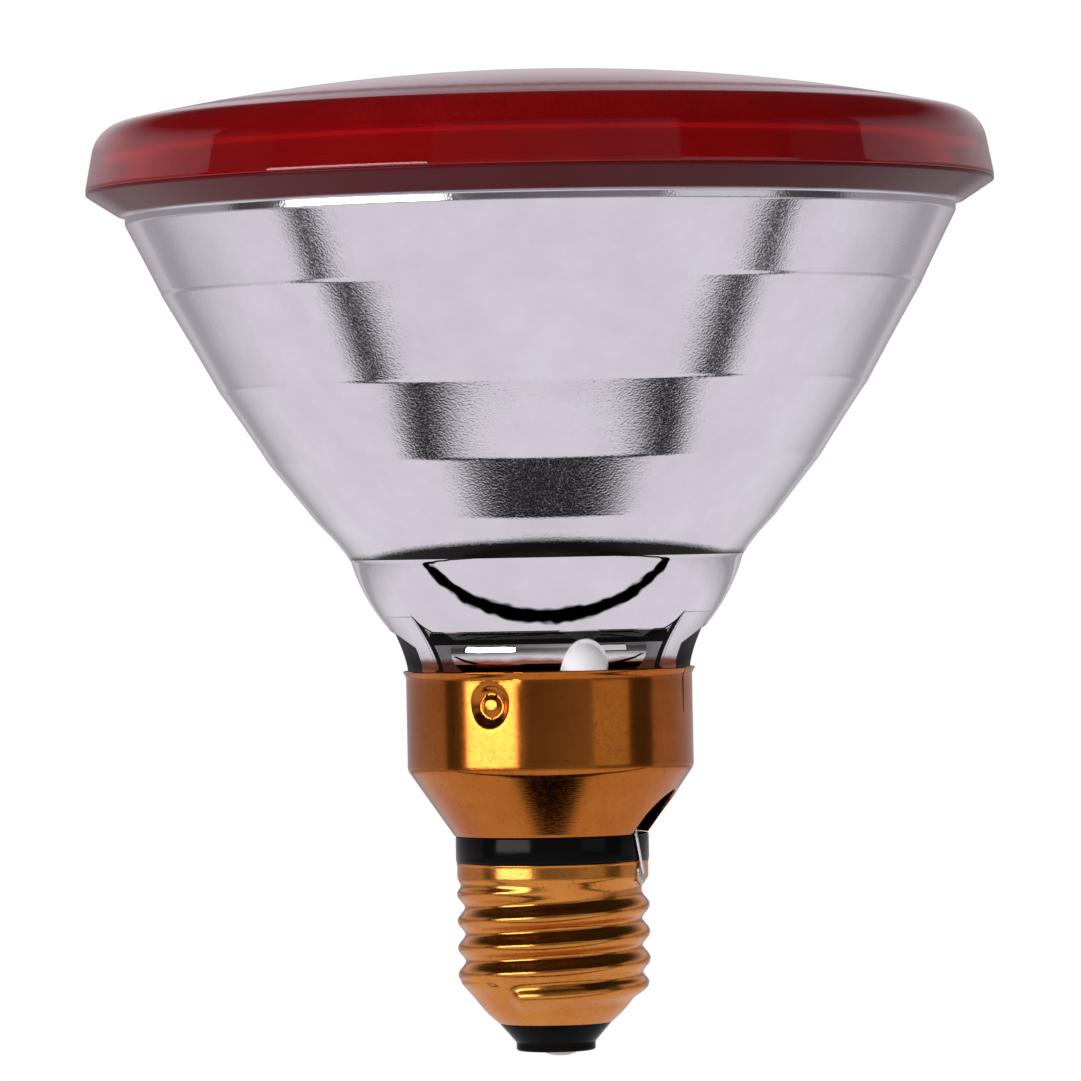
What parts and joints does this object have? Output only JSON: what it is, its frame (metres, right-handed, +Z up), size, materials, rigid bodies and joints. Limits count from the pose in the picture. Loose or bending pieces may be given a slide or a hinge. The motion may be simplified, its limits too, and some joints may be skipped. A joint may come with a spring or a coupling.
{
  "type": "infrared heat lamp bulb",
  "caption": "Reflector heat lamp with a red domed lens, a stepped silvered glass bowl and a skirted brass screw cap with a black tip.",
  "frame": {"origin": "under the solder tip of the screw cap, on the lamp's axis, where the centre contact meets the holder", "axes": "+Z up the axis from the cap to the lens, -Y towards the camera, +X to the right in the picture"},
  "size_m": [0.1224, 0.1224, 0.1326],
  "materials": {
    "red_glass": "smooth, deep red",
    "silvered_glass": "satin silver",
    "cap_brass": "drawn, fine scratches",
    "black_ring": "smooth",
    "black_tip": "glassy black",
    "solder": "dull",
    "contact_brass": "stamped",
    "lead_wire": "bright wire",
    "filament_wire": "drawn wire",
    "support_wire": "drawn wire",
    "clear_glass": "fire polished",
    "ferrule_metal": "stamped"
  },
  "bodies": {
    "root": {"front_lens": "red_glass", "reflector_bowl": "silvered_glass", "skirt_collar": "cap_brass", "insulator_ring": "black_ring", "screw_shell": "cap_brass", "tip_insulator": "black_tip", "tip_solder": "solder", "centre_contact": "contact_brass", "side_lead": "lead_wire", "side_solder": "solder", "centre_lead": "lead_wire", "filament": "filament_wire", "support_hook": "support_wire", "bridge_bead": "clear_glass", "lead_post_left": "support_wire", "lead_post_right": "support_wire", "ferrule_left": "ferrule_metal", "ferrule_right": "ferrule_metal", "exhaust_tube": "clear_glass"}
  },
  "joints": []
}
